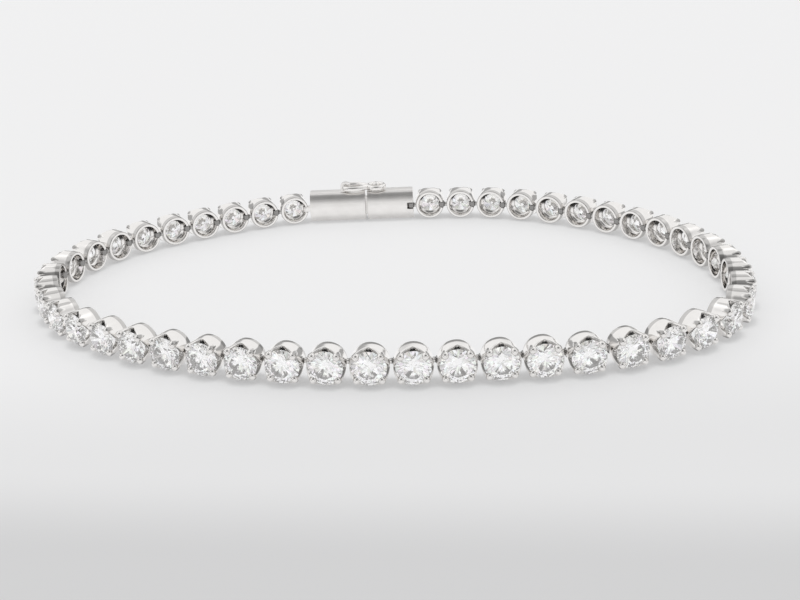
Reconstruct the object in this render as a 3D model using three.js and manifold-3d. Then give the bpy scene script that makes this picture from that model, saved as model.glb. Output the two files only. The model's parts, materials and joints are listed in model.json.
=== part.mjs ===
// A tennis bracelet: round brilliants in four-claw cups, hinged into a loop that a box clasp closes.
// Millimetres, +Z up. The loop stands on its edge with every stone facing away from the wrist.
// A piece is drawn in its own frame: +X along the chain, +Y towards the wrist, the hinge line at Y = 0.
import * as THREE from "three";
import { ConvexGeometry } from "three/addons/geometries/ConvexGeometry.js";
import { mergeVertices } from "three/addons/utils/BufferGeometryUtils.js";
import Module from "manifold-3d";

const wasm = await Module();
wasm.setup();

// Stones
const STONE_COUNT = 46;
const STONE_DIAMETER = 3.06;
const TABLE_SHARE = 0.56; // of the stone's diameter
const CROWN_SHARE = 0.15;
const PAVILION_SHARE = 0.43;
const GIRDLE_SIDES = 12;

// Cups
const SEAT_CLEARANCE = 0.05; // round the girdle, between the claws
const RIM_WALL = 0.14;
const BACK_WALL = 0.36;
const CUP_TAPER = 0.06; // the back rim's radius is smaller by this
const CUP_GAP = 0.16; // between the widest points of two cups
const CULET_ROOM = 0.6; // from the stone's point to the plane of the back rim
const CLAW_RISE = 0.38; // above the girdle
const CLAW_OVERLAP = 0.2; // how far a claw reaches in over the stone's edge
const CLAW_LEAN = 0.14;
const SHOULDER_RISE = 0.08; // from the girdle up to the foot of a claw
const SHOULDER_TURN = 33; // degrees from the middle of a notch
const CLAW_TURN = 45;
const NOTCH_BRIDGE = 0.52; // wall left between a notch and the hinge slot behind it

// Hinges
const BAR_RADIUS = 0.13;
const BAR_SIDES = 6;
const BAR_COVER = 0.13; // from the outside of the back rim to the bar's surface
const BAR_ROOT = 0.12; // how deep each end of a bar is set in the wall
const EYE_WALL = 0.16;
const EYE_HEIGHT = 0.6;
const EYE_SIDES = 8;
const HINGE_CLEARANCE = 0.08;

// Clasp
const CLASP_SPAN = 12.4; // from hinge to hinge
const CLASP_RISE = 0.06; // how far the clasp's top stands above the cups
const CLASP_PROUD = 0.1; // how far its inner face stands past the cups' back rims
const CLASP_DOME = 0.25; // how far the inner face swells between its edges
const CLASP_CORNER = 0.4; // of the edges away from the wrist
const CLASP_SHOULDER = 0.7; // height of the rounded edges towards the wrist
const CURVE_STEPS = 5; // straight sides to each curve
const END_PIECE_LENGTH = 5.4;
const MOUTH_GAP = 0.25;
const BOX_WALL = 0.5;
const BOX_END_WALL = 1.1;

// Tongue
const LEAF_THICKNESS = 0.28;
const LEAF_SPREAD = 0.3; // between the leaves, where the sprung one is furthest out
const TONGUE_CLEARANCE = 0.1;
const TONGUE_SETBACK = 0.5; // from the mouth in to the free end of the sprung leaf
const SHANK_LENGTH = 0.6;
const SHANK_HEIGHT = 0.7;
const BUTTON_LENGTH = 1.1;
const BUTTON_HEIGHT = 1.5;
const BUTTON_THICKNESS = 0.4;

// Safety catch
const CATCH_WIRE_RADIUS = 0.3;
const CATCH_WIRE_SIDES = 8;
const LOOP_RADIUS = 0.9; // of the wire's middle line
const LOOP_STEPS = 16;
const CATCH_LENGTH = 5.1;
const CATCH_CLEARANCE = 0.15; // over the clasp and round the peg
const CATCH_BAR_SHARE = 0.8; // half the straight end's length, as a share of the loop's radius
const PEG_SETBACK = 1.1; // from the mouth back to the peg
const PEG_NECK = 0.28;
const PEG_CAP = 0.2;
const PEG_SIDES = 12;
const LUG_WIDTH = 0.7;
const LUG_WALL = 0.22;
const LUG_CLEARANCE = 0.08;

// How closely the loop's size and each hinge are searched for
const SEARCH_STEPS = 40;
const SEARCH_SHARE = 0.1; // of the size expected, either way
const LONGEST_STEP = 0.5; // of the whole route

// The chain's path as chosen points, seen from above, from the tongue's hinge round by the left end.
// They are shares of the loop's width; the loop is drawn at the size at which the chain closes.
const ROUTE = [
  [0.048, 0.332],
  [-0.138, 0.337],
  [-0.295, 0.28],
  [-0.431, 0.186],
  [-0.498, 0.037],
  [-0.448, -0.112],
  [-0.327, -0.221],
  [-0.177, -0.29],
  [-0.017, -0.322],
  [0.151, -0.324],
  [0.318, -0.303],
  [0.459, -0.208],
  [0.495, -0.041],
  [0.447, 0.111],
  [0.335, 0.234],
  [0.194, 0.314],
];

// Worked out from the sizes above
const girdleRadius = STONE_DIAMETER / 2;
const frontRadius = girdleRadius + SEAT_CLEARANCE + RIM_WALL;
const backRadius = frontRadius - CUP_TAPER;
const pitch = 2 * frontRadius + CUP_GAP;
const holeRadius = BAR_RADIUS + HINGE_CLEARANCE;
const eyeRadius = holeRadius + EYE_WALL;
const barInset = BAR_RADIUS + BAR_COVER;
const barOffset = backRadius - barInset; // from a cup's middle to its bar
const slotHeight = EYE_HEIGHT + 2 * HINGE_CLEARANCE;
const slotDepth = 2 * eyeRadius + HINGE_CLEARANCE;
const girdleDepth = CULET_ROOM + PAVILION_SHARE * STONE_DIAMETER;
const notchDepth = slotDepth + NOTCH_BRIDGE;
const middleHeight = cupRadius(notchDepth); // of every cup's axis and of every hinge
const claspInner = eyeRadius + CLASP_PROUD;
const pocketInner = claspInner - CLASP_DOME - BOX_WALL;
const pocketOuter = pocketInner - 2 * LEAF_THICKNESS - LEAF_SPREAD - 2 * TONGUE_CLEARANCE;
const claspOuter = pocketOuter - BOX_WALL;
const claspHeight = 2 * middleHeight + CLASP_RISE;
const claspMiddle = (claspInner - CLASP_DOME + claspOuter) / 2;
const claspTop = claspHeight - middleHeight;
const mouth = END_PIECE_LENGTH - barInset;
const boxStart = mouth + MOUTH_GAP;
const boxEnd = CLASP_SPAN - pitch + barOffset + backRadius;
const pocketEnd = boxEnd - BOX_END_WALL;
const catchHeight = claspHeight + CATCH_CLEARANCE + CATCH_WIRE_RADIUS;
const pegPlace = mouth - PEG_SETBACK;
const catchHinge = pegPlace - LOOP_RADIUS + CATCH_LENGTH - 2 * CATCH_WIRE_RADIUS;

const X = new THREE.Vector3(1, 0, 0);
const Y = new THREE.Vector3(0, 1, 0);
const Z = new THREE.Vector3(0, 0, 1);

const METAL = 0;
const GEM = 1;
const materials = [
  new THREE.MeshStandardMaterial({ name: "white_gold", color: 0xdcdcde, roughness: 0.12, metalness: 1 }),
  new THREE.MeshStandardMaterial({ name: "diamond", color: 0xf4f6fa, roughness: 0.02, metalness: 0 }),
];
const materialOf = new Map(); // from a solid's own number to its material's place in the list

function solid(geometry, material = METAL) {
  const bare = new THREE.BufferGeometry().setAttribute("position", geometry.getAttribute("position"));
  bare.setIndex(geometry.getIndex());
  const merged = mergeVertices(bare);
  const made = new wasm.Manifold(
    new wasm.Mesh({
      numProp: 3,
      vertProperties: new Float32Array(merged.attributes.position.array),
      triVerts: new Uint32Array(merged.index.array),
    }),
  );
  materialOf.set(made.originalID(), material);
  return made;
}

// A mesh whose faces keep the material of the solid that they come from.
function meshOf(name, body) {
  const data = body.getMesh();
  const geometry = new THREE.BufferGeometry();
  geometry.setAttribute("position", new THREE.BufferAttribute(data.vertProperties, 3));
  geometry.setIndex(new THREE.BufferAttribute(data.triVerts, 1));
  data.runOriginalID.forEach((id, run) => {
    const start = data.runIndex[run];
    geometry.addGroup(start, data.runIndex[run + 1] - start, materialOf.get(id));
  });
  geometry.computeVertexNormals();
  const mesh = new THREE.Mesh(geometry, materials);
  mesh.name = name;
  return mesh;
}

// A box given by its lowest and highest corners.
function boxBetween(low, high) {
  const size = high.map((value, axis) => value - low[axis]);
  const geometry = new THREE.BoxGeometry(...size);
  return geometry.translate(...low.map((value, axis) => value + size[axis] / 2));
}

// A closed band through rings, where each ring is joined to the next and the last to the first.
// A ring is a list of points with their turns round it in degrees, from 0 up.
function bandThrough(rings) {
  const turnAt = (ring, step) => ring[step % ring.length].turn + 360 * Math.floor(step / ring.length);
  const index = [];
  let start = 0;
  rings.forEach((ring, i) => {
    const last = i === rings.length - 1;
    const next = last ? rings[0] : rings[i + 1];
    const nextStart = last ? 0 : start + ring.length;
    const here = (step) => start + (step % ring.length);
    const there = (step) => nextStart + (step % next.length);
    let a = 0;
    let b = 0;
    while (a < ring.length || b < next.length) {
      if (turnAt(ring, a + 1) <= turnAt(next, b + 1)) {
        index.push(here(a), here(a + 1), there(b));
        a += 1;
      } else {
        index.push(here(a), there(b + 1), there(b));
        b += 1;
      }
    }
    start = nextStart;
  });
  const points = rings.flat().map((place) => place.point);
  return new THREE.BufferGeometry().setFromPoints(points).setIndex(index);
}

// A closed wire whose middle line is the given points in the XY plane, counter-clockwise.
function wireLoop(points, radius, sides) {
  const rings = points.map((middle, i) => {
    const before = points[(i + points.length - 1) % points.length];
    const after = points[(i + 1) % points.length];
    const along = new THREE.Vector3().subVectors(after, before).normalize();
    const across = new THREE.Vector3().crossVectors(Z, along);
    return Array.from({ length: sides }, (_, side) => {
      const turn = (side / sides) * 360;
      const angle = THREE.MathUtils.degToRad(turn);
      const point = middle
        .clone()
        .addScaledVector(across, radius * Math.cos(angle))
        .addScaledVector(Z, radius * Math.sin(angle));
      return { turn, point };
    });
  });
  return bandThrough(rings);
}

function cupRadius(depth) {
  return backRadius + (CUP_TAPER * depth) / girdleDepth;
}

// A point on a link: turn is counted from +X, depth from the back rim towards the stone's face.
function cupPoint(radius, degrees, depth) {
  const turn = THREE.MathUtils.degToRad(degrees);
  return new THREE.Vector3(
    barOffset + radius * Math.cos(turn),
    eyeRadius - depth,
    radius * Math.sin(turn),
  );
}

function brilliant() {
  const crown = girdleDepth + CROWN_SHARE * STONE_DIAMETER;
  const points = [cupPoint(0, 0, CULET_ROOM)];
  for (let side = 0; side < GIRDLE_SIDES; side += 1) {
    const degrees = (side / GIRDLE_SIDES) * 360;
    points.push(cupPoint(girdleRadius, degrees, girdleDepth));
    if (side % 2 === 0) points.push(cupPoint(girdleRadius * TABLE_SHARE, degrees, crown));
  }
  return new ConvexGeometry(points);
}

// The wall's front edge over one quarter turn: a notch, the foot of a claw, the claw and its other foot.
function frontEdge() {
  const shoulder = girdleDepth + SHOULDER_RISE;
  const notch = { depth: notchDepth, outer: cupRadius(notchDepth), inner: cupRadius(notchDepth) - RIM_WALL };
  const foot = { depth: shoulder, outer: cupRadius(shoulder), inner: cupRadius(shoulder) - RIM_WALL };
  const claw = {
    depth: girdleDepth + CLAW_RISE,
    outer: frontRadius - CLAW_LEAN,
    inner: girdleRadius - CLAW_OVERLAP,
  };
  return [
    { turn: 0, ...notch },
    { turn: SHOULDER_TURN, ...foot },
    { turn: CLAW_TURN, ...claw },
    { turn: 2 * CLAW_TURN - SHOULDER_TURN, ...foot },
  ];
}

function cup() {
  const edge = [0, 1, 2, 3].flatMap((quarter) =>
    frontEdge().map((place) => ({ ...place, turn: place.turn + quarter * 2 * CLAW_TURN })),
  );
  const back = edge.filter((place) => place.turn % (2 * CLAW_TURN) !== CLAW_TURN);
  const ring = (places, radiusOf, depthOf) =>
    places.map((place) => ({
      turn: place.turn,
      point: cupPoint(radiusOf(place), place.turn, depthOf(place)),
    }));
  return bandThrough([
    ring(back, () => backRadius, () => 0),
    ring(edge, (place) => place.outer, (place) => place.depth),
    ring(edge, (place) => place.inner, (place) => place.depth),
    ring(back, () => backRadius - BACK_WALL, () => 0),
  ]);
}

// An upright bar on the hinge line, which the next piece's eye goes round.
function hingeBar() {
  const length = slotHeight + 2 * BAR_ROOT;
  return new THREE.CylinderGeometry(BAR_RADIUS, BAR_RADIUS, length, BAR_SIDES).rotateX(Math.PI / 2);
}

// The room that an eye needs round a bar, open towards the wrist and the piece before.
function hingeSlot() {
  return boxBetween(
    [-pitch, eyeRadius - slotDepth, -slotHeight / 2],
    [eyeRadius + HINGE_CLEARANCE, claspInner + CLASP_PROUD, slotHeight / 2],
  );
}

// A flat eye at x, on an arm that starts inside the wall at x = root.
function hingeEye(x, root) {
  const step = (2 * Math.PI) / EYE_SIDES;
  const last = EYE_SIDES / 2 - 1;
  const outline = new THREE.Shape();
  outline.moveTo(root, eyeRadius * Math.sin(-last * step));
  for (let side = -last; side <= last; side += 1) {
    outline.lineTo(x + eyeRadius * Math.cos(side * step), eyeRadius * Math.sin(side * step));
  }
  outline.lineTo(root, eyeRadius * Math.sin(last * step));
  outline.holes.push(polygonPath(x, 0, holeRadius, BAR_SIDES));
  return extrude(outline, EYE_HEIGHT).translate(0, 0, -EYE_HEIGHT / 2);
}

// A regular hole whose flat sides keep at least the given distance from its middle.
function polygonPath(x, y, inside, sides) {
  const radius = inside / Math.cos(Math.PI / sides);
  const path = new THREE.Path();
  for (let side = 0; side < sides; side += 1) {
    const turn = (side / sides) * 2 * Math.PI;
    const place = [x + radius * Math.cos(turn), y + radius * Math.sin(turn)];
    if (side === 0) path.moveTo(...place);
    else path.lineTo(...place);
  }
  return path.closePath();
}

function extrude(shape, depth) {
  return new THREE.ExtrudeGeometry(shape, { depth, bevelEnabled: false, curveSegments: CURVE_STEPS });
}

function linkSolid() {
  const ring = solid(cup()).subtract(solid(hingeSlot()));
  const root = barOffset + backRadius - BACK_WALL / 2;
  return ring
    .add(solid(hingeBar()))
    .add(solid(hingeEye(pitch, root)))
    .add(solid(brilliant(), GEM));
}

// The clasp's section, across the chain: flat below, above and outside, domed towards the wrist. Each
// shoulder runs on into the dome without a crease, so its curve bends where their straight lines meet.
function claspBlock(start, end) {
  const low = -middleHeight;
  const high = claspHeight - middleHeight;
  const edge = claspInner - CLASP_DOME;
  const r = CLASP_CORNER;
  const s = CLASP_SHOULDER;
  const slope = (2 * CLASP_DOME) / (claspHeight / 2 - s);
  const bend = edge - slope * s;
  const section = new THREE.Shape();
  section.moveTo(claspOuter + r, low);
  section.lineTo(bend - s / 2, low);
  section.quadraticCurveTo(bend, low, edge, low + s);
  section.quadraticCurveTo(claspInner + CLASP_DOME, (low + high) / 2, edge, high - s);
  section.quadraticCurveTo(bend, high, bend - s / 2, high);
  section.lineTo(claspOuter + r, high);
  section.quadraticCurveTo(claspOuter, high, claspOuter, high - r);
  section.lineTo(claspOuter, low + r);
  section.quadraticCurveTo(claspOuter, low, claspOuter + r, low);
  const turn = new THREE.Matrix4().makeBasis(Y, Z, X).setPosition(start, 0, 0);
  return extrude(section, end - start).applyMatrix4(turn);
}

// The sprung tongue: an inner leaf from the end piece, folded at its tip into an outer leaf whose free
// end carries the button.
function tongueLeaves() {
  const inner = pocketInner - TONGUE_CLEARANCE;
  const outer = pocketOuter + TONGUE_CLEARANCE;
  const tip = pocketEnd - TONGUE_CLEARANCE;
  const free = boxStart + TONGUE_SETBACK;
  const fold = inner - 2 * LEAF_THICKNESS;
  const outline = new THREE.Shape();
  outline.moveTo(mouth - BOX_WALL, inner);
  outline.lineTo(mouth - BOX_WALL, inner - LEAF_THICKNESS);
  outline.lineTo(tip - 2 * LEAF_THICKNESS, inner - LEAF_THICKNESS);
  outline.lineTo(free, outer + LEAF_THICKNESS);
  outline.lineTo(free, outer);
  outline.lineTo(free + SHANK_LENGTH, outer);
  outline.lineTo(tip, fold);
  outline.lineTo(tip, inner);
  const height = claspHeight - 2 * BOX_WALL - 2 * TONGUE_CLEARANCE;
  const low = BOX_WALL + TONGUE_CLEARANCE - middleHeight;
  return extrude(outline, height).translate(0, 0, low);
}

function tongueSolid() {
  const middle = claspHeight / 2 - middleHeight;
  const free = boxStart + TONGUE_SETBACK;
  const buttonInner = claspOuter - TONGUE_CLEARANCE;
  const shank = boxBetween(
    [free, buttonInner - BUTTON_THICKNESS / 2, middle - SHANK_HEIGHT / 2],
    [free + SHANK_LENGTH, pocketOuter + TONGUE_CLEARANCE + LEAF_THICKNESS / 2, middle + SHANK_HEIGHT / 2],
  );
  const button = boxBetween(
    [free, buttonInner - BUTTON_THICKNESS, middle - BUTTON_HEIGHT / 2],
    [free + BUTTON_LENGTH, buttonInner, middle + BUTTON_HEIGHT / 2],
  );
  return solid(claspBlock(-barInset, mouth))
    .subtract(solid(hingeSlot()))
    .add(solid(hingeBar()))
    .add(solid(tongueLeaves()))
    .add(solid(shank))
    .add(solid(button))
    .add(solid(peg()));
}

// The stud that the catch's free loop snaps over.
function peg() {
  const head = LOOP_RADIUS - CATCH_WIRE_RADIUS - CATCH_CLEARANCE;
  const wire = catchHeight - claspHeight;
  const profile = [
    [0, -BOX_WALL],
    [PEG_NECK, -BOX_WALL],
    [PEG_NECK, CATCH_CLEARANCE],
    [head, wire],
    [head, wire + CATCH_WIRE_RADIUS],
    [head / 2, wire + CATCH_WIRE_RADIUS + PEG_CAP],
    [0, wire + CATCH_WIRE_RADIUS + PEG_CAP],
  ].map(([radius, height]) => new THREE.Vector2(radius, height));
  return new THREE.LatheGeometry(profile, PEG_SIDES)
    .rotateX(Math.PI / 2)
    .translate(pegPlace, claspMiddle, claspTop);
}

function boxSolid() {
  const middle = claspHeight / 2 - middleHeight;
  const room = SHANK_HEIGHT / 2 + TONGUE_CLEARANCE;
  const shankEnd = boxStart + TONGUE_SETBACK + SHANK_LENGTH + TONGUE_CLEARANCE;
  const pocket = boxBetween(
    [mouth, pocketOuter, BOX_WALL - middleHeight],
    [pocketEnd, pocketInner, claspHeight - BOX_WALL - middleHeight],
  );
  const slot = boxBetween(
    [mouth, claspOuter - BOX_WALL, middle - room],
    [shankEnd, pocketOuter + BOX_WALL / 2, middle + room],
  );
  return solid(claspBlock(boxStart, boxEnd))
    .subtract(solid(pocket))
    .subtract(solid(slot))
    .add(solid(hingeEye(CLASP_SPAN, boxEnd - BOX_WALL)))
    .add(solid(lug()));
}

// The pierced lug on top of the box that the catch turns in.
function lug() {
  const hole = CATCH_WIRE_RADIUS + LUG_CLEARANCE;
  const outside = hole + LUG_WALL;
  const height = catchHeight - middleHeight;
  const foot = claspHeight - middleHeight - BOX_WALL / 2;
  const outline = new THREE.Shape();
  outline.moveTo(catchHinge - outside, foot);
  outline.lineTo(catchHinge + outside, foot);
  outline.lineTo(catchHinge + outside, height);
  outline.quadraticCurveTo(catchHinge + outside, height + outside, catchHinge, height + outside);
  outline.quadraticCurveTo(catchHinge - outside, height + outside, catchHinge - outside, height);
  outline.holes.push(polygonPath(catchHinge, height, hole, EYE_SIDES));
  const turn = new THREE.Matrix4().makeBasis(X, Z, Y.clone().negate());
  turn.setPosition(0, claspMiddle + LUG_WIDTH / 2, 0);
  return extrude(outline, LUG_WIDTH).applyMatrix4(turn);
}

// The figure-8 of wire, with its hinge bar at the origin: a round loop that snaps over the peg, and a
// loop with a straight end that turns in the lug.
function catchSolid() {
  const round = [];
  for (let step = 0; step < LOOP_STEPS; step += 1) {
    const turn = (step / LOOP_STEPS) * 2 * Math.PI;
    const place = pegPlace - catchHinge;
    round.push(new THREE.Vector3(place + LOOP_RADIUS * Math.cos(turn), LOOP_RADIUS * Math.sin(turn), 0));
  }
  const waist = pegPlace - catchHinge + LOOP_RADIUS;
  const square = new THREE.CatmullRomCurve3(
    [
      new THREE.Vector3(0, -LOOP_RADIUS * CATCH_BAR_SHARE, 0),
      new THREE.Vector3(0, 0, 0),
      new THREE.Vector3(0, LOOP_RADIUS * CATCH_BAR_SHARE, 0),
      new THREE.Vector3(waist / 2, LOOP_RADIUS, 0),
      new THREE.Vector3(waist, 0, 0),
      new THREE.Vector3(waist / 2, -LOOP_RADIUS, 0),
    ],
    true,
    "centripetal",
  ).getPoints(LOOP_STEPS).slice(0, LOOP_STEPS);
  return solid(wireLoop(round, CATCH_WIRE_RADIUS, CATCH_WIRE_SIDES)).add(
    solid(wireLoop(square, CATCH_WIRE_RADIUS, CATCH_WIRE_SIDES)),
  );
}

// The next place along the route at a straight distance from a given one.
function stepAlong(route, from, distance, scale) {
  const start = route.getPoint(from % 1);
  let low = from;
  let high = from + LONGEST_STEP;
  for (let i = 0; i < SEARCH_STEPS; i += 1) {
    const middle = (low + high) / 2;
    if (route.getPoint(middle % 1).distanceTo(start) * scale < distance) low = middle;
    else high = middle;
  }
  return (low + high) / 2;
}

// The hinges at the size of loop at which the chain meets itself.
function hingePlaces() {
  const points = ROUTE.map(([x, y]) => new THREE.Vector3(x, y, 0));
  const route = new THREE.CatmullRomCurve3(points, true, "centripetal");
  const spans = [CLASP_SPAN, ...Array(STONE_COUNT).fill(pitch)];
  const walk = (scale) => {
    const places = [0];
    spans.forEach((span) => places.push(stepAlong(route, places.at(-1), span, scale)));
    return places;
  };
  const length = spans.reduce((sum, span) => sum + span, 0) / route.getLength();
  let small = length * (1 - SEARCH_SHARE);
  let large = length * (1 + SEARCH_SHARE);
  for (let i = 0; i < SEARCH_STEPS; i += 1) {
    const middle = (small + large) / 2;
    if (walk(middle).at(-1) > 1) small = middle;
    else large = middle;
  }
  return walk(large).map((place) => route.getPoint(place % 1).multiplyScalar(large));
}

// Puts a piece so that its hinge line runs from one hinge towards the next.
function place(object, from, to) {
  object.position.copy(from);
  object.rotation.z = Math.atan2(to.y - from.y, to.x - from.x);
  return object;
}

function makeClasp() {
  const clasp = new THREE.Group();
  clasp.add(meshOf("clasp_tongue", tongueSolid()), meshOf("clasp_box", boxSolid()));
  const safetyCatch = meshOf("safety_catch", catchSolid());
  safetyCatch.position.set(catchHinge, claspMiddle, catchHeight - middleHeight);
  clasp.add(safetyCatch);
  return clasp;
}

const bracelet = new THREE.Group();
const hinges = hingePlaces();
bracelet.add(place(makeClasp(), hinges[0], hinges[1]));
const link = linkSolid();
for (let number = 1; number <= STONE_COUNT; number += 1) {
  const mesh = meshOf(`link_${String(number).padStart(2, "0")}`, link);
  bracelet.add(place(mesh, hinges[number], hinges[number + 1]));
}

// The origin is at the middle of the loop, on the surface that it stands on.
const bounds = new THREE.Box3().setFromObject(bracelet, true);
const middle = bounds.getCenter(new THREE.Vector3());
bracelet.children.forEach((child) => child.position.sub(new THREE.Vector3(middle.x, middle.y, bounds.min.z)));

export default bracelet;
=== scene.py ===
"""A tennis bracelet: brilliants in four-claw cups, hinged into a loop that a box clasp closes.

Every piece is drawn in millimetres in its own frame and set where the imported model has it.
"""

import json
import math

import bmesh
import bpy
from mathutils import Matrix, Vector


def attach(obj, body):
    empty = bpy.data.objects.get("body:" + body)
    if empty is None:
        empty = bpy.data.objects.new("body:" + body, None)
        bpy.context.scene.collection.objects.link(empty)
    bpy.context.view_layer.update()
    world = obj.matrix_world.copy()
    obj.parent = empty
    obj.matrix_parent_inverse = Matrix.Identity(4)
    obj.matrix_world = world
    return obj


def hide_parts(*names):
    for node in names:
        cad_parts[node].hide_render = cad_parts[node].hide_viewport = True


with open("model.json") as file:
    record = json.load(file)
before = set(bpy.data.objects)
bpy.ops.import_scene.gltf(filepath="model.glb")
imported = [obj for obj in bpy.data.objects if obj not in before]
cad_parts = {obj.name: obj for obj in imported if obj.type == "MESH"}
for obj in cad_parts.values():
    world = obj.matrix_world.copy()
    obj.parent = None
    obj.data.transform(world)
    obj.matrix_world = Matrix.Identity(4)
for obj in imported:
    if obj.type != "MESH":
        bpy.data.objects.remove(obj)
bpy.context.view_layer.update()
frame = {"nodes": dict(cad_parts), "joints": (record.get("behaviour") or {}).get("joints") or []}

MM = 0.001
UP = Vector((0, 0, 1))
WELD = 1e-5  # points of a mesh closer than this are one
NODES = frame["nodes"]
CHAIN_BODY = "bracelet"
CATCH_BODY = "safety_catch"

# Stones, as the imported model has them
STONE_DIAMETER = 3.06
TABLE_SHARE = 0.56
CROWN_SHARE = 0.15
PAVILION_SHARE = 0.43
CULET_ROOM = 0.6  # from the stone's point to the plane of the back rim
STAR_SHARE = 0.5  # of the way from the table's edge to the girdle
LOWER_SHARE = 0.77  # of the way from the girdle to the point
GIRDLE_BAND = 0.05
MAINS = 8
STONE_TURN = 17  # degrees by which each stone is turned in its cup from the one before

# Cups
SEAT_CLEARANCE = 0.05
RIM_WALL = 0.14  # at the claws, outside the stone
CUP_TAPER = 0.06
CUP_GAP = 0.16
BACK_WALL = 0.36
SEAT_TAPER = 0.47  # inwards, for each unit of depth below the girdle
SEAT_DROP = 0.06  # from the girdle down to where the seat begins
SEAT_STEP = 0.06
NOTCH_WALL = 0.17  # of the wall in the middle of a notch, where the seat is cut away
CUT_TURN = 7  # degrees of half that cut
CUT_FADE = 4.0  # degrees over which each side of the cut ends
NOTCH_DEPTH = 1.34  # of a notch's point, from the back rim
SHOULDER_DEPTH = 2.0  # of the front edge at a claw's foot
SHOULDER_TURN = 36  # degrees from the middle of a notch
APEX_TURN = 3.0  # half the width of a notch's rounded point
QUARTER = 90  # from one notch or claw to the next
BACK_SWELL = 0.5  # depth over which the wall's outside curves in to the back rim
BACK_DRAW = 0.055  # by how much it curves in
BACK_ROUND = 0.07
FRONT_ROUND = 0.05
ROUND_STEPS = 4
WALL_STEPS = 8
# The ledge's upper half carries a painted shadow, nearly black, for the dark hollow under the stone
LEDGE_DEPTH = 1.0  # from the back rim to the ledge under the stone
LEDGE_THICKNESS = 0.2
LEDGE_RADIUS = 1.0  # of its opening
LEDGE_EDGE = 0.02
LEDGE_STEPS = 5
STATIONS = 120  # round the wall

# Claws
CLAW_TURN = 45
CLAW_DISTANCE = 1.48  # from the cup's axis to the middle of the bead
BEAD_RADIUS = 0.35
BEAD_SINK = 0.31  # from the tip of the solid claw back to the middle of the bead
CLAW_RISE = 0.38
CLAW_FOOT = 0.95  # depth at which a claw starts to stand out of the wall
CLAW_SIDES = 20
CLAW_STEPS = 7
CLAW_WIDTH = (0.35, 0.95)  # at the foot and at the bead, as shares of the bead's radius
CLAW_THICKNESS = (0.3, 0.92)
CLAW_SPREAD = 1.6  # how much sooner than at the bead it has its full width
BEAD_STEPS = 8
BEAD_TOP = 85  # degrees up to the bead's last ring

# Hinges
BAR_RADIUS = 0.13
BAR_COVER = 0.13
BAR_HALF = 0.5
BAR_TURNS = 16
EYE_WALL = 0.16
HINGE_CLEARANCE = 0.08
EYE_HEIGHT = 0.6
EYE_ROUND = 0.09
EYE_HOLE_ROUND = 0.045
EYE_SIDES = 40
ARM_DEPTH_SHARE = 0.72  # of the eye's diameter
ARM_HEIGHT_SHARE = 0.7  # of the eye's height
ARM_GAP = 0.03  # from the arm's end to the eye's hole
ARM_ROUND = 0.16
ARM_STEPS = 3
SLOT_TURN = 180  # where the hinge slot is, towards the piece before
SLOT_EDGE = 1.1  # degrees over which a slot's side turns into the back rim

# Safety catch, a figure-8 of wire
CATCH_WIRE_RADIUS = 0.3
CATCH_LENGTH = 5.1
LOOP_RADIUS = 0.9
CATCH_BAR_SHARE = 0.8  # of the loop's radius, half the wire's straight part in the lug
LOOP_STEPS = 56
SPAN_STEPS = 10
WIRE_SIDES = 20

# Clasp
EDGE_ROUND = 0.06
EDGE_STEPS = 2
EDGE_PROFILE = 0.5
SOLID_WELD = 1e-4  # points of the solid closer than this are one
FLAT_ANGLE = 1  # degrees up to which faces of the solid are one
EDGE_ANGLE = 35  # from which an edge is rounded
SMOOTH_ANGLE = 50  # up to which an edge is shaded smooth

# Worked out from the sizes above
GIRDLE_RADIUS = STONE_DIAMETER / 2
GIRDLE_DEPTH = CULET_ROOM + PAVILION_SHARE * STONE_DIAMETER
FRONT_RADIUS = GIRDLE_RADIUS + SEAT_CLEARANCE + RIM_WALL
BACK_RADIUS = FRONT_RADIUS - CUP_TAPER
PITCH = 2 * FRONT_RADIUS + CUP_GAP
EYE_HOLE = BAR_RADIUS + HINGE_CLEARANCE
EYE_RADIUS = EYE_HOLE + EYE_WALL
BAR_PLACE = BACK_RADIUS - BAR_RADIUS - BAR_COVER
SLOT_HALF = EYE_HEIGHT / 2 + HINGE_CLEARANCE
SLOT_DEPTH = 2 * EYE_RADIUS + HINGE_CLEARANCE
BEAD_DEPTH = GIRDLE_DEPTH + CLAW_RISE - BEAD_SINK

# Finding a link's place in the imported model
PLACE_DIGITS = 7  # of its points in metres
LEVEL_STEP = 0.01  # points closer in height than this are level

# Camera, in millimetres and degrees
CAMERA_PLACE = (1.44, -113.691, 43.467)
CAMERA_PITCH = 21.646
CAMERA_ROLL = -2.674
CAMERA_LENS = 54
CAMERA_NEAR = 1
CAMERA_FAR = 10000

# White gold
GOLD_TONES = [(0.3, (0.83, 0.812, 0.795, 1)), (0.7, (0.885, 0.868, 0.85, 1))]
CLOUD_SCALE = 0.9  # of the faint clouds in its tone and its polish
CLOUD_DETAIL = 3
POLISH = (0.05, 0.12)  # roughness where the clouds are darkest and lightest
CLASP_POLISH = (0.28, 0.34)

# Painted shade on a cup, darker outside round the back rim and on the hinge, and a painted shadow, nearly
# black, on the ledge's upper half; each between two depths from the back rim, distances from the axis or
# heights above it
# Painted shade: the outside round each cup's back rim is darker
RIM_PAINTED_SHADE = 0.66
RIM_PAINTED_SHADE_DEPTHS = (0.42, 0.56)
RIM_PAINTED_SHADE_DISTANCES = (1.5, 1.58)
# Painted shadow: nearly black inside the cup round the upper half of the ledge
LEDGE_PAINTED_SHADOW = 0.06
LEDGE_PAINTED_SHADOW_BACK = (0.9, 0.98)
LEDGE_PAINTED_SHADOW_FRONT = (1.21, 1.25)
LEDGE_PAINTED_SHADOW_DISTANCES = (1.42, 1.48)
LEDGE_PAINTED_SHADOW_HEIGHTS = (0.1, 0.6)
# Painted shade: darker on the hinge, beyond the cup's wall
HINGE_PAINTED_SHADE = 0.5
HINGE_PAINTED_SHADE_DISTANCES = (1.73, 1.78)

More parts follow.
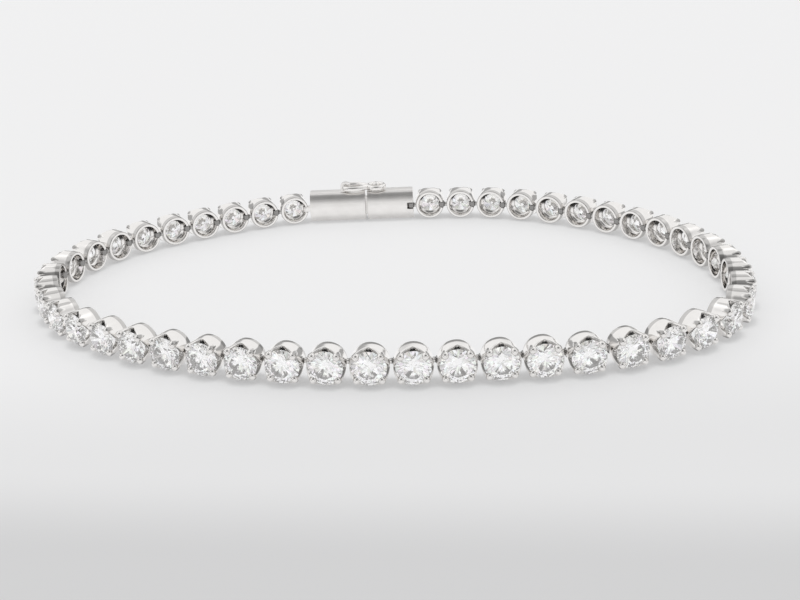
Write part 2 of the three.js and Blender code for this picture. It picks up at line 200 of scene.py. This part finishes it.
# Diamond
REFRACTION = 2.417
STONE_GLOW = 0.038  # stands for the light that comes back after many reflections
GLOW_COLOUR = (1, 0.98, 0.96, 1)
PAINTED_FIRE_SCALE = 1.7  # of the patches of painted fire
# Colours of the painted fire, which stand in for the colours that the stones split from light
PAINTED_FIRE_TINTS = [
    (0, (1, 1, 1, 1)),
    (0.55, (0.97, 0.96, 1, 1)),
    (0.72, (1, 0.99, 0.95, 1)),
    (0.84, (1, 0.965, 0.965, 1)),
    (0.92, (1, 1, 1, 1)),
]

# Light tent
WALL_TONE = 0.88  # of the wall behind, as the camera sees it
ROOF_HEIGHTS = (0.75, 0.9)  # of a direction, from 0 level to 1 straight up
ROOF_LIGHT = 1.35
IN_STONE = 0.5  # light that has gone through more surfaces than this has met a stone
FIELD_SCALE = 3.2  # of the patchwork that the stones gather
FIELD_DETAIL = 3.0
FIELD_LEVELS = (0.38, 0.62)
FIELD_LIGHT = (0.46, 1.04)
FIRE = 0.22  # how much colour the stones gather
FIRE_SCALE = 5.0
FIRE_DETAIL = 1.0
SIDE_AZIMUTHS = (-135, -45, 0, 45, 90, 135, 180)
# Azimuth, elevation, half angle and soft edge in degrees, and the light inside
METAL_PATCHES = [(azimuth, 0, 19, 1.5, 0.42) for azimuth in SIDE_AZIMUTHS]
METAL_PATCHES += [(90, 68, 14, 3, 0.5), (-90, 62, 44, 10, 0.66), (-90, 50, 25, 6, 0.3)]

# Floor, in millimetres from its middle
FLOOR_HALF = 3000
FLOOR_COLOUR = (0.42, 0.42, 0.425, 1)
FLOOR_ROUGHNESS = 0.8
FLOOR_SPECULAR = 0.1
FLOOR_GLOW = (0.445, 0.525)  # in front and behind
GLOW_CHANGES = (-36, -12)
SLANT = (0.12, 1, 0)  # across the bands of painted shade in the floor's glow
BAND_SHADE = 0.7
BAND_STARTS = (-49, -38)
BAND_ENDS = (-150, -56)
MIRRORED_GLOW = 1.25  # how much brighter the metal mirrors the floor
CONTACT_SHADOW_REACH = 1.1  # of the painted contact shadow on the floor round what stands on it
CONTACT_SHADOW_SAMPLES = 8
CONTACT_SHADOW_LEVELS = (0.5, 0.95)
CONTACT_SHADOW_DARKEST = 0.68


# Camera

camera_data = bpy.data.cameras.new("camera")
camera_data.lens = CAMERA_LENS
camera_data.clip_start = CAMERA_NEAR * MM
camera_data.clip_end = CAMERA_FAR * MM
camera = bpy.data.objects.new("camera", camera_data)
camera.location = Vector(CAMERA_PLACE) * MM
tilt = Matrix.Rotation(math.radians(90 - CAMERA_PITCH), 4, "X")
roll = Matrix.Rotation(math.radians(CAMERA_ROLL), 4, "Z")
camera.rotation_euler = (tilt @ roll).to_euler()
bpy.context.scene.collection.objects.link(camera)
bpy.context.scene.camera = camera


# Meshes


class Shape:
    """Points and faces in millimetres, with a mark on each face that is shaded smooth."""

    def __init__(self):
        self.points = []
        self.faces = []
        self.smooth = []

    def add(self, points, faces, smooth=True):
        """More points, and faces that number them from nought."""
        start = len(self.points)
        self.points.extend(Vector(p) for p in points)
        self.faces.extend(tuple(start + i for i in face) for face in faces)
        self.smooth.extend([smooth] * len(faces))

    def mesh(self, name):
        """The mesh in metres, with every face turned outwards."""
        data = bpy.data.meshes.new(name)
        data.from_pydata([p * MM for p in self.points], [], self.faces)
        data.polygons.foreach_set("use_smooth", self.smooth)
        edit = bmesh.new()
        edit.from_mesh(data)
        bmesh.ops.remove_doubles(edit, verts=edit.verts, dist=WELD * MM)
        bmesh.ops.recalc_face_normals(edit, faces=edit.faces)
        edit.to_mesh(data)
        edit.free()
        return data


def grid_faces(rows, columns, close_rows=True, close_columns=True):
    """Quads over a grid of points, row by row, whose ends may join."""
    faces = []
    for r in range(rows if close_rows else rows - 1):
        for c in range(columns if close_columns else columns - 1):
            here = r * columns
            after = (r + 1) % rows * columns
            beside = (c + 1) % columns
            faces.append((here + c, here + beside, after + beside, after + c))
    return faces


def arc(x, y, radius, start):
    """Points on a quarter of a circle about (x, y), from one direction on, in degrees."""
    points = []
    for i in range(ROUND_STEPS + 1):
        angle = math.radians(start + QUARTER * i / ROUND_STEPS)
        points.append((x + radius * math.cos(angle), y + radius * math.sin(angle)))
    return points


def around(radius, degrees, depth):
    """A point of a cup: the turn counts from the chain's way on, the depth from the back rim."""
    angle = math.radians(degrees)
    return Vector((radius * math.cos(angle), -depth, radius * math.sin(angle)))


def tube(shape, rings):
    """A closed skin over rings of points, with each end closed to its middle."""
    columns = len(rings[0])
    points = [p for ring in rings for p in ring]
    faces = grid_faces(len(rings), columns, close_rows=False)
    for number in (0, len(rings) - 1):
        points.append(sum((Vector(p) for p in rings[number]), Vector()) / columns)
        start = number * columns
        for c in range(columns):
            faces.append((start + c, start + (c + 1) % columns, len(points) - 1))
    shape.add(points, faces)


def lathe(shape, profile, middle, sides, closed=False):
    """A profile of (radius, height) turned about an upright axis."""
    points = []
    for i in range(sides):
        angle = 2 * math.pi * i / sides
        outward = Vector((math.cos(angle), math.sin(angle), 0))
        points.extend(Vector(middle) + outward * radius + UP * height for radius, height in profile)
    shape.add(points, grid_faces(sides, len(profile), close_columns=closed))


def rounded_block(shape, low, high, radius):
    """A box with rounded edges between two corners."""
    low, high = Vector(low), Vector(high)
    middle = (low + high) / 2
    half = (high - low) / 2
    turns = [math.radians(QUARTER * i / ARM_STEPS) for i in range(ARM_STEPS + 1)]
    rings = []
    for upper in (-1, 1):
        for turn in turns if upper > 0 else reversed(turns):
            reach = radius * math.cos(turn)
            height = upper * (half.z - radius + radius * math.sin(turn))
            ring = []
            for corner, (sign_x, sign_y) in enumerate([(1, 1), (-1, 1), (-1, -1), (1, -1)]):
                for bend in turns:
                    angle = bend + corner * math.pi / 2
                    x = sign_x * (half.x - radius) + reach * math.cos(angle)
                    y = sign_y * (half.y - radius) + reach * math.sin(angle)
                    ring.append(middle + Vector((x, y, height)))
            rings.append(ring)
    tube(shape, rings)


# Stones


def brilliant_mesh(turn):
    """A round brilliant with 57 facets and a thin girdle, turned about its axis by so many degrees.

    Its table faces away from the wrist. The rings are the table, the star points, both edges of the
    girdle and the points where the pavilion's lower facets end.
    """
    step = 360 / MAINS
    half = step / 2
    lean = math.cos(math.radians(half))
    table = GIRDLE_RADIUS * TABLE_SHARE
    upper = GIRDLE_DEPTH + GIRDLE_BAND / 2
    lower = GIRDLE_DEPTH - GIRDLE_BAND / 2
    top = GIRDLE_DEPTH + CROWN_SHARE * STONE_DIAMETER
    star = table * lean + STAR_SHARE * (GIRDLE_RADIUS - table * lean)
    crown_slope = (top - upper) / (GIRDLE_RADIUS - table)
    star_depth = top - (star * lean - table) * crown_slope
    low = GIRDLE_RADIUS * (1 - LOWER_SHARE)
    pavilion_slope = (lower - CULET_ROOM) / GIRDLE_RADIUS
    low_depth = CULET_ROOM + low * lean * pavilion_slope
    rings = [
        (table, top, 0),
        (star, star_depth, half),
        (GIRDLE_RADIUS, upper, 0),
        (GIRDLE_RADIUS, upper, half),
        (GIRDLE_RADIUS, lower, 0),
        (GIRDLE_RADIUS, lower, half),
        (low, low_depth, half),
    ]
    points = []
    for radius, depth, offset in rings:
        points.extend(around(radius, turn + i * step + offset, depth) for i in range(MAINS))
    culet = len(points)
    points.append(around(0, 0, CULET_ROOM))

    def at(ring, i):
        return ring * MAINS + i % MAINS

    faces = [tuple(at(0, i) for i in range(MAINS))]
    for i in range(MAINS):
        faces.append((at(0, i), at(1, i), at(0, i + 1)))
        faces.append((at(0, i), at(1, i - 1), at(2, i), at(1, i)))
        faces.append((at(1, i), at(2, i), at(3, i)))
        faces.append((at(1, i), at(3, i), at(2, i + 1)))
        faces.append((at(2, i), at(4, i), at(5, i), at(3, i)))
        faces.append((at(3, i), at(5, i), at(4, i + 1), at(2, i + 1)))
        faces.append((at(6, i), at(5, i), at(4, i)))
        faces.append((at(6, i), at(4, i + 1), at(5, i)))
        faces.append((culet, at(6, i), at(4, i), at(6, i - 1)))
    shape = Shape()
    shape.add(points, faces, smooth=False)
    return shape.mesh("brilliant")


# Settings


def outer_radius(depth):
    """The cup's outside, which widens a little towards the stone and curves in at the back."""
    radius = BACK_RADIUS + CUP_TAPER * depth / GIRDLE_DEPTH
    return radius - BACK_DRAW * max(1 - depth / BACK_SWELL, 0)


def notch_turn(degrees):
    """How far a direction is from the middle of the nearest notch."""
    return abs((degrees + QUARTER / 2) % QUARTER - QUARTER / 2)


def inner_radius(depth, degrees):
    """The cup's inside: a straight bore, then the stone's seat, which is cut away at each notch."""
    front = FRONT_RADIUS - RIM_WALL
    bore = BACK_RADIUS - BACK_WALL
    seat_top = GIRDLE_DEPTH - SEAT_DROP
    seat = GIRDLE_RADIUS - SEAT_TAPER * (GIRDLE_DEPTH - min(depth, seat_top))
    radius = max(seat, bore)
    if depth > LEDGE_DEPTH:
        cut = 1 - min(max((notch_turn(degrees) - CUT_TURN) / CUT_FADE, 0), 1)
        radius += (FRONT_RADIUS - NOTCH_WALL - radius) * cut
    if depth > seat_top:
        radius += (front - radius) * min((depth - seat_top) / SEAT_STEP, 1)
    return radius


def inner_profile(low, high, degrees):
    """The cup's inside from its front to its back, with the ledge under the stone."""
    edge = LEDGE_EDGE
    top = LEDGE_DEPTH + LEDGE_THICKNESS
    points = []
    for i in range(1, LEDGE_STEPS + 1):
        depth = high + (top + edge - high) * i / LEDGE_STEPS
        points.append((inner_radius(depth, degrees), depth))
    points += [(LEDGE_RADIUS + edge, top), (LEDGE_RADIUS, top - edge)]
    points += [(LEDGE_RADIUS, LEDGE_DEPTH + edge), (LEDGE_RADIUS + edge, LEDGE_DEPTH)]
    for i in range(LEDGE_STEPS):
        depth = LEDGE_DEPTH - edge + (low - LEDGE_DEPTH + edge) * i / LEDGE_STEPS
        points.append((inner_radius(depth, degrees), depth))
    return points


def front_depth(degrees):
    """Depth of the wall's front edge: a notch at each quarter, level at the foot of each claw."""
    turn = notch_turn(degrees)
    rise = (SHOULDER_DEPTH - NOTCH_DEPTH) / (SHOULDER_TURN - APEX_TURN / 2)
    if turn < APEX_TURN:
        return NOTCH_DEPTH + rise * turn * turn / (2 * APEX_TURN)
    return min(NOTCH_DEPTH + rise * (turn - APEX_TURN / 2), SHOULDER_DEPTH)


def slot_half_turn():
    """Half the turn that the hinge slot takes at the back rim, in degrees."""
    return math.degrees(math.asin(SLOT_HALF / BACK_RADIUS))


def back_depth(degrees):
    """Depth of the wall's back edge, which the hinge slot cuts."""
    share = (slot_half_turn() + SLOT_EDGE / 2 - abs(degrees - SLOT_TURN)) / SLOT_EDGE
    return SLOT_DEPTH * min(max(share, 0), 1)


def cup_shape(shape):
    """The cup's wall, as one closed band."""
    turns = {360 * i / STATIONS for i in range(STATIONS)}
    for side in (-1, 1):
        for share in (-1, -0.5, 0, 0.5, 1):
            turns.add(SLOT_TURN + side * (slot_half_turn() + share * SLOT_EDGE / 2))
    turns = sorted(turns)
    points = []
    for turn in turns:
        front = front_depth(turn)
        back = back_depth(turn)
        low = back + BACK_ROUND
        high = front - FRONT_ROUND
        steps = [low + (high - low) * i / WALL_STEPS for i in range(1, WALL_STEPS)]
        section = arc(inner_radius(low, turn) + BACK_ROUND, low, BACK_ROUND, 180)
        section += arc(outer_radius(low) - BACK_ROUND, low, BACK_ROUND, 270)
        section += [(outer_radius(depth), depth) for depth in steps]
        section += arc(outer_radius(high) - FRONT_ROUND, high, FRONT_ROUND, 0)
        section += arc(inner_radius(high, turn) + FRONT_ROUND, high, FRONT_ROUND, 90)
        section += inner_profile(low, high, turn)
        points.extend(around(radius, turn, depth) for radius, depth in section)
    shape.add(points, grid_faces(len(turns), len(section)))


def claw_shape(shape, degrees):
    """A claw that grows out of the wall, leans in over the stone and ends in a bead."""
    outward = around(1, degrees, 0)
    along = around(1, degrees + QUARTER, 0)
    forward = Vector((0, -1, 0))

    def ring(distance, depth, wide, thick):
        middle = outward * distance + forward * depth
        points = []
        for i in range(CLAW_SIDES):
            turn = 2 * math.pi * i / CLAW_SIDES
            points.append(middle + along * wide * math.cos(turn) + outward * thick * math.sin(turn))
        return points

    wide_foot, wide_head = CLAW_WIDTH
    thick_foot, thick_head = CLAW_THICKNESS
    rings = []
    for i in range(CLAW_STEPS):
        share = i / CLAW_STEPS
        ease = share * share * (3 - 2 * share)
        depth = CLAW_FOOT + (BEAD_DEPTH - CLAW_FOOT) * share
        foot = outer_radius(depth) - RIM_WALL
        distance = foot + (CLAW_DISTANCE - foot) * ease
        wide = BEAD_RADIUS * (wide_foot + (wide_head - wide_foot) * min(CLAW_SPREAD * share, 1))
        thick = BEAD_RADIUS * (thick_foot + (thick_head - thick_foot) * ease)
        rings.append(ring(distance, depth, wide, thick))
    for i in range(BEAD_STEPS):
        lift = math.radians(BEAD_TOP * i / (BEAD_STEPS - 1))
        depth = BEAD_DEPTH + BEAD_RADIUS * math.sin(lift)
        radius = BEAD_RADIUS * math.cos(lift)
        rings.append(ring(CLAW_DISTANCE, depth, radius, radius))
    tube(shape, rings)


def hinge_bar(shape, x):
    """The upright bar behind the hinge slot."""
    profile = [(0.0, -BAR_HALF), (BAR_RADIUS, -BAR_HALF), (BAR_RADIUS, BAR_HALF), (0.0, BAR_HALF)]
    lathe(shape, profile, (x, -EYE_RADIUS, 0), BAR_TURNS)


def hinge_eye(shape, x, root):
    """The eye that goes round the next link's bar, on an arm that starts inside the wall at root."""
    half = EYE_HEIGHT / 2
    outer = EYE_ROUND
    inner = EYE_HOLE_ROUND
    profile = arc(EYE_RADIUS - outer, half - outer, outer, 0)
    profile += arc(EYE_HOLE + inner, half - inner, inner, 90)
    profile += arc(EYE_HOLE + inner, -half + inner, inner, 180)
    profile += arc(EYE_RADIUS - outer, -half + outer, outer, 270)
    lathe(shape, profile, (x, -EYE_RADIUS, 0), EYE_SIDES, closed=True)
    arm = EYE_RADIUS * ARM_DEPTH_SHARE
    rise = half * ARM_HEIGHT_SHARE
    end = x - EYE_HOLE - ARM_GAP
    rounded_block(shape, (root, -EYE_RADIUS - arm, -rise), (end, -EYE_RADIUS + arm, rise), ARM_ROUND)


def setting_mesh():
    """A cup with its four claws, its hinge bar and its hinge eye."""
    shape = Shape()
    cup_shape(shape)
    for degrees in range(CLAW_TURN, 360, QUARTER):
        claw_shape(shape, degrees)
    hinge_bar(shape, -BAR_PLACE)
    hinge_eye(shape, PITCH - BAR_PLACE, BACK_RADIUS - BACK_WALL / 2)
    return shape.mesh("setting")


# Safety catch


def spline_point(four, share):
    """The place between the second and third of four points, on a centripetal Catmull-Rom curve."""
    knots = [0.0]
    for a, b in zip(four, four[1:]):
        knots.append(knots[-1] + math.sqrt((b - a).length))
    place = knots[1] + (knots[2] - knots[1]) * share
    level = four
    for reach, first in ((1, 0), (2, 0), (1, 1)):
        ends = [(knots[first + i], knots[first + i + reach]) for i in range(len(level) - 1)]
        level = [a.lerp(b, (place - s) / (e - s)) for a, b, (s, e) in zip(level, level[1:], ends)]
    return level[0]


def wire_loop(shape, middles):
    """A closed loop of round wire that lies flat."""
    points = []
    for i, middle in enumerate(middles):
        ahead = middles[(i + 1) % len(middles)] - middles[i - 1]
        side = ahead.cross(UP).normalized()
        for s in range(WIRE_SIDES):
            turn = 2 * math.pi * s / WIRE_SIDES
            points.append(middle + (side * math.cos(turn) + UP * math.sin(turn)) * CATCH_WIRE_RADIUS)
    shape.add(points, grid_faces(len(middles), WIRE_SIDES))


def catch_mesh():
    """The catch from its hinge at the origin: a loop that turns in the lug and one that holds the peg."""
    shape = Shape()
    waist = 2 * CATCH_WIRE_RADIUS - CATCH_LENGTH + 2 * LOOP_RADIUS
    centre = Vector((waist - LOOP_RADIUS, 0, 0))
    loop = []
    for i in range(LOOP_STEPS):
        turn = 2 * math.pi * i / LOOP_STEPS
        loop.append(centre + Vector((math.cos(turn), math.sin(turn), 0)) * LOOP_RADIUS)
    wire_loop(shape, loop)
    bar = LOOP_RADIUS * CATCH_BAR_SHARE
    bent = [(0, -bar), (0, 0), (0, bar), (waist / 2, LOOP_RADIUS), (waist, 0), (waist / 2, -LOOP_RADIUS)]
    corners = [Vector((x, y, 0)) for x, y in bent]
    middles = []
    for i in range(len(corners)):
        four = [corners[(i + k) % len(corners)] for k in (-1, 0, 1, 2)]
        middles.extend(spline_point(four, step / SPAN_STEPS) for step in range(SPAN_STEPS))
    wire_loop(shape, middles)
    return shape.mesh("catch")


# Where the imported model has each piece


def cup_pose(solid):
    """The middle of a link's back rim, from its two highest points: at the top notch and on the rim."""
    places = {tuple(round(value, PLACE_DIGITS) for value in v.co) for v in solid.data.vertices}
    places = sorted(places, key=lambda p: -p[2])
    top = Vector(places[0])
    rim = next(Vector(p) for p in places if p[2] < top.z - LEVEL_STEP * MM)
    inward = Vector((rim.x - top.x, rim.y - top.y, 0)).normalized()
    pose = Matrix((inward.cross(UP), inward, UP)).transposed().to_4x4()
    pose.translation = (rim.x, rim.y, top.z / 2)
    return pose


def catch_pose():
    """The place of the catch's hinge, with its length along X and its hinge along Y."""
    joint = next(j for j in frame["joints"] if j["child"] == CATCH_BODY)
    across = Vector(joint["axis"]).normalized()
    pose = Matrix((across.cross(UP), across, UP)).transposed().to_4x4()
    pose.translation = Vector(joint["pos_m"])
    return pose


# Materials


def node(tree, kind, links_in, outlet=0, **settings):
    """The output of a new node whose inputs, by number or name, are joined or set."""
    made = tree.nodes.new(kind)
    for key, value in settings.items():
        setattr(made, key, value)
    for key, value in links_in.items():
        if isinstance(value, bpy.types.NodeSocket):
            tree.links.new(value, made.inputs[key])
        else:
            made.inputs[key].default_value = value
    return made.outputs[outlet]


def times(tree, one, other):
    """The product of two values."""
    return node(tree, "ShaderNodeMath", {0: one, 1: other}, operation="MULTIPLY")


def ramp(tree, value, start, end, low, high):
    """A soft step from one value to another."""
    inputs = {"Value": value, "From Min": start, "From Max": end, "To Min": low, "To Max": high}
    return node(tree, "ShaderNodeMapRange", inputs, interpolation_type="SMOOTHSTEP")


def colours(tree, value, table, interpolation="LINEAR"):
    """A colour for each value, from a table of (position, colour)."""
    made = tree.nodes.new("ShaderNodeValToRGB")
    band = made.color_ramp
    band.interpolation = interpolation
    for number, (position, colour) in enumerate(table):
        stop = band.elements[number] if number < 2 else band.elements.new(position)
        stop.position = position
        stop.color = colour
    tree.links.new(value, made.inputs["Fac"])
    return made.outputs["Color"]


def place_in_piece(tree):
    """Where a point is in its piece's own frame, in millimetres."""
    place = node(tree, "ShaderNodeTexCoord", {}, "Object")
    return node(tree, "ShaderNodeVectorMath", {0: place, 3: 1 / MM}, operation="SCALE")


def new_material(name, settings):
    """A material with these settings of its shader, its node tree and its shader."""
    material = bpy.data.materials.new(name)
    material.use_nodes = True
    shader = material.node_tree.nodes["Principled BSDF"]
    for key, value in settings.items():
        shader.inputs[key].default_value = value
    return material, material.node_tree, shader


def cup_painted_shade(tree, place):
    """A cup's painted shade, outside round its back rim and on its hinge, with a painted shadow on its
    ledge's upper half.
    """
    depth = times(tree, node(tree, "ShaderNodeSeparateXYZ", {"Vector": place}, "Y"), -1)
    height = node(tree, "ShaderNodeSeparateXYZ", {"Vector": place}, "Z")
    across = node(tree, "ShaderNodeVectorMath", {0: place, 1: (1, 0, 1)}, operation="MULTIPLY")
    distance = node(tree, "ShaderNodeVectorMath", {0: across}, "Value", operation="LENGTH")
    rim = ramp(tree, depth, *RIM_PAINTED_SHADE_DEPTHS, 1, 0)
    rim = times(tree, rim, ramp(tree, distance, *RIM_PAINTED_SHADE_DISTANCES, 0, 1))
    ledge = ramp(tree, depth, *LEDGE_PAINTED_SHADOW_BACK, 0, 1)
    ledge = times(tree, ledge, ramp(tree, depth, *LEDGE_PAINTED_SHADOW_FRONT, 1, 0))
    ledge = times(tree, ledge, ramp(tree, distance, *LEDGE_PAINTED_SHADOW_DISTANCES, 1, 0))
    ledge = times(tree, ledge, ramp(tree, height, *LEDGE_PAINTED_SHADOW_HEIGHTS, 0, 1))
    shade = ramp(tree, distance, *HINGE_PAINTED_SHADE_DISTANCES, 1, HINGE_PAINTED_SHADE)
    shade = times(tree, shade, ramp(tree, rim, 0, 1, 1, RIM_PAINTED_SHADE))
    return times(tree, shade, ramp(tree, ledge, 0, 1, 1, LEDGE_PAINTED_SHADOW))


def white_gold(name, polish, cup=False):
    """Polished white gold with faint clouds, and with a cup's painted shade and shadow where it is for a
    cup.
    """
    material, tree, shader = new_material(name, {"Metallic": 1})
    place = place_in_piece(tree)
    noise = {"Vector": place, "Scale": CLOUD_SCALE, "Detail": CLOUD_DETAIL}
    clouds = node(tree, "ShaderNodeTexNoise", noise, "Fac")
    colour = colours(tree, clouds, GOLD_TONES)
    if cup:
        # Painted shade and shadow of a cup, multiplied into its colour
        shade = cup_painted_shade(tree, place)
        colour = node(tree, "ShaderNodeVectorMath", {0: colour, 3: shade}, operation="SCALE")
    tree.links.new(colour, shader.inputs["Base Color"])
    sharpest, softest = polish
    gloss = {"Value": clouds, "To Min": sharpest, "To Max": softest}
    tree.links.new(node(tree, "ShaderNodeMapRange", gloss), shader.inputs["Roughness"])
    return material


def diamond():
    """Clear stone with painted fire, very faint patches of violet, yellow and rose, and a faint glow."""
    settings = {
        "Transmission Weight": 1,
        "IOR": REFRACTION,
        "Roughness": 0,
        "Emission Color": GLOW_COLOUR,
        "Emission Strength": STONE_GLOW,
    }
    material, tree, shader = new_material("diamond", settings)
    cells = {"Vector": place_in_piece(tree), "Scale": PAINTED_FIRE_SCALE}
    cells = node(tree, "ShaderNodeTexVoronoi", cells, "Color")
    chance = node(tree, "ShaderNodeSeparateColor", {"Color": cells}, "Red")
    # Painted fire: patches of faint colour in the stone that stand in for light split into colours
    tree.links.new(colours(tree, chance, PAINTED_FIRE_TINTS, "CONSTANT"), shader.inputs["Base Color"])
    return material


metal = white_gold("polished_white_gold", POLISH)
clasp_metal = white_gold("clasp_white_gold", CLASP_POLISH)
# The cups' metal carries painted shade and a painted shadow
cup_metal_painted_shade = white_gold("cup_white_gold_painted_shade", POLISH, cup=True)
stone = diamond()


# Pieces


def piece(name, data, pose, body, material):
    """A mesh set in its place, on its body."""
    obj = bpy.data.objects.new(name, data)
    bpy.context.scene.collection.objects.link(obj)
    obj.matrix_world = pose
    if not data.materials:
        data.materials.append(material)
    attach(obj, body)
    return obj


def rounded_copy(solid):
    """A copy of a solid whose flat faces are whole again and whose edges are rounded."""
    edit = bmesh.new()
    edit.from_mesh(solid.data)
    bmesh.ops.remove_doubles(edit, verts=edit.verts, dist=SOLID_WELD * MM)
    flat = math.radians(FLAT_ANGLE)
    bmesh.ops.dissolve_limit(edit, angle_limit=flat, verts=edit.verts, edges=edit.edges)
    sharp = math.radians(EDGE_ANGLE)
    edges = [e for e in edit.edges if len(e.link_faces) == 2 and e.calc_face_angle() > sharp]
    bmesh.ops.bevel(
        edit,
        geom=edges,
        offset=EDGE_ROUND * MM,
        segments=EDGE_STEPS,
        profile=EDGE_PROFILE,
        affect="EDGES",
        clamp_overlap=True,
    )
    for face in edit.faces:
        face.smooth = True
    data = bpy.data.meshes.new(solid.name + "_rounded")
    edit.to_mesh(data)
    edit.free()
    data.set_sharp_from_angle(angle=math.radians(SMOOTH_ANGLE))
    return data


setting_data = setting_mesh()
for name in sorted(NODES):
    if name.startswith("link_"):
        number = name.removeprefix("link_")
        pose = cup_pose(NODES[name])
        setting = piece(f"setting_{number}", setting_data, pose, CHAIN_BODY, cup_metal_painted_shade)
        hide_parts(name)
        brilliant = brilliant_mesh(-STONE_TURN * int(number))
        piece(f"stone_{number}", brilliant, pose, CHAIN_BODY, stone)

for name in ("clasp_box", "clasp_tongue"):
    rounded = rounded_copy(NODES[name])
    made = piece(name + "_polished", rounded, Matrix.Identity(4), CHAIN_BODY, clasp_metal)
    even = made.modifiers.new("flat faces stay flat", "WEIGHTED_NORMAL")
    even.keep_sharp = True
    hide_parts(name)
catch = piece("figure_8_catch", catch_mesh(), catch_pose(), CATCH_BODY, metal)
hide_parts("safety_catch")


# Stage


def patch(tree, way, azimuth, elevation, half_angle, soft, inside):
    """A round patch of another brightness: 1 outside, the given value inside."""
    a, e = math.radians(azimuth), math.radians(elevation)
    middle = (math.cos(e) * math.cos(a), math.cos(e) * math.sin(a), math.sin(e))
    near = node(tree, "ShaderNodeVectorMath", {0: way, 1: middle}, "Value", operation="DOT_PRODUCT")
    rim = math.cos(math.radians(half_angle + soft))
    core = math.cos(math.radians(half_angle - soft))
    return ramp(tree, near, rim, core, 1, inside)


def metal_light(tree, way, height):
    """What the metal mirrors: white all round and brighter above, with grey panels and a dark lens."""
    light = ramp(tree, height, *ROOF_HEIGHTS, 1, ROOF_LIGHT)
    for azimuth, elevation, half_angle, soft, inside in METAL_PATCHES:
        light = times(tree, light, patch(tree, way, azimuth, elevation, half_angle, soft, inside))
    return light


def stone_light(tree, way):
    """What the stones gather: a patchwork of lighter and darker fields."""
    noise = {"Vector": way, "Scale": FIELD_SCALE, "Detail": FIELD_DETAIL}
    fields = node(tree, "ShaderNodeTexNoise", noise, "Fac")
    return ramp(tree, fields, *FIELD_LEVELS, *FIELD_LIGHT)


def tent():
    """Light from all round: plain for the camera, with one pattern for metal and one for stones."""
    world = bpy.data.worlds.new("tent")
    bpy.context.scene.world = world
    world.use_nodes = True
    tree = world.node_tree
    way = node(tree, "ShaderNodeTexCoord", {}, "Generated")
    height = node(tree, "ShaderNodeSeparateXYZ", {"Vector": way}, "Z")
    seen = node(tree, "ShaderNodeLightPath", {}, "Is Camera Ray")
    passes = node(tree, "ShaderNodeLightPath", {}, "Transmission Depth")
    through = node(tree, "ShaderNodeMath", {0: passes, 1: IN_STONE}, operation="GREATER_THAN")
    light = {0: through, 2: metal_light(tree, way, height), 3: stone_light(tree, way)}
    light = node(tree, "ShaderNodeMix", light)
    light = node(tree, "ShaderNodeMix", {0: seen, 2: light, 3: WALL_TONE})
    noise = {"Vector": way, "Scale": FIRE_SCALE, "Detail": FIRE_DETAIL}
    fire = node(tree, "ShaderNodeTexNoise", noise, "Color")
    tint = {0: times(tree, through, FIRE), 6: (1, 1, 1, 1), 7: fire}
    tint = node(tree, "ShaderNodeMix", tint, 2, data_type="RGBA", blend_type="COLOR")
    background = tree.nodes["Background"]
    tree.links.new(tint, background.inputs["Color"])
    tree.links.new(light, background.inputs["Strength"])


def pale_floor():
    """A wide pale sheet that glows a little, so shadows on it stay faint, with painted shade that makes
    it darker in front and a painted contact shadow round what stands on it; it glows brighter where the
    metal mirrors it.
    """
    data = bpy.data.meshes.new("floor")
    corners = [Vector((x, y, 0)) * FLOOR_HALF * MM for x, y in [(-1, -1), (1, -1), (1, 1), (-1, 1)]]
    data.from_pydata(corners, [], [(0, 1, 2, 3)])
    obj = bpy.data.objects.new("floor", data)
    bpy.context.scene.collection.objects.link(obj)
    settings = {
        "Base Color": FLOOR_COLOUR,
        "Roughness": FLOOR_ROUGHNESS,
        "Specular IOR Level": FLOOR_SPECULAR,
        "Emission Color": (1, 1, 1, 1),
    }
    material, tree, shader = new_material("pale_floor", settings)
    place = place_in_piece(tree)
    back = node(tree, "ShaderNodeSeparateXYZ", {"Vector": place}, "Y")
    slant = node(tree, "ShaderNodeVectorMath", {0: place, 1: SLANT}, "Value", operation="DOT_PRODUCT")
    # Painted shade: a darker band in the floor's glow in front
    band = ramp(tree, slant, *BAND_STARTS, BAND_SHADE, 1)
    beyond = ramp(tree, slant, *BAND_ENDS, 1, BAND_SHADE)
    band = node(tree, "ShaderNodeMath", {0: band, 1: beyond}, operation="MAXIMUM")
    glow = times(tree, ramp(tree, back, *GLOW_CHANGES, *FLOOR_GLOW), band)
    mirrored = node(tree, "ShaderNodeLightPath", {}, "Is Glossy Ray")
    glow = times(tree, glow, ramp(tree, mirrored, 0, 1, 1, MIRRORED_GLOW))
    # Painted contact shadow: the floor's glow dims close to what stands on it
    reach = {"Distance": CONTACT_SHADOW_REACH * MM}
    contact_shadow = node(tree, "ShaderNodeAmbientOcclusion", reach, "AO", samples=CONTACT_SHADOW_SAMPLES)
    glow = times(tree, glow, ramp(tree, contact_shadow, *CONTACT_SHADOW_LEVELS, CONTACT_SHADOW_DARKEST, 1))
    tree.links.new(glow, shader.inputs["Emission Strength"])
    data.materials.append(material)


pale_floor()
tent()
bpy.context.scene.view_settings.view_transform = "Standard"
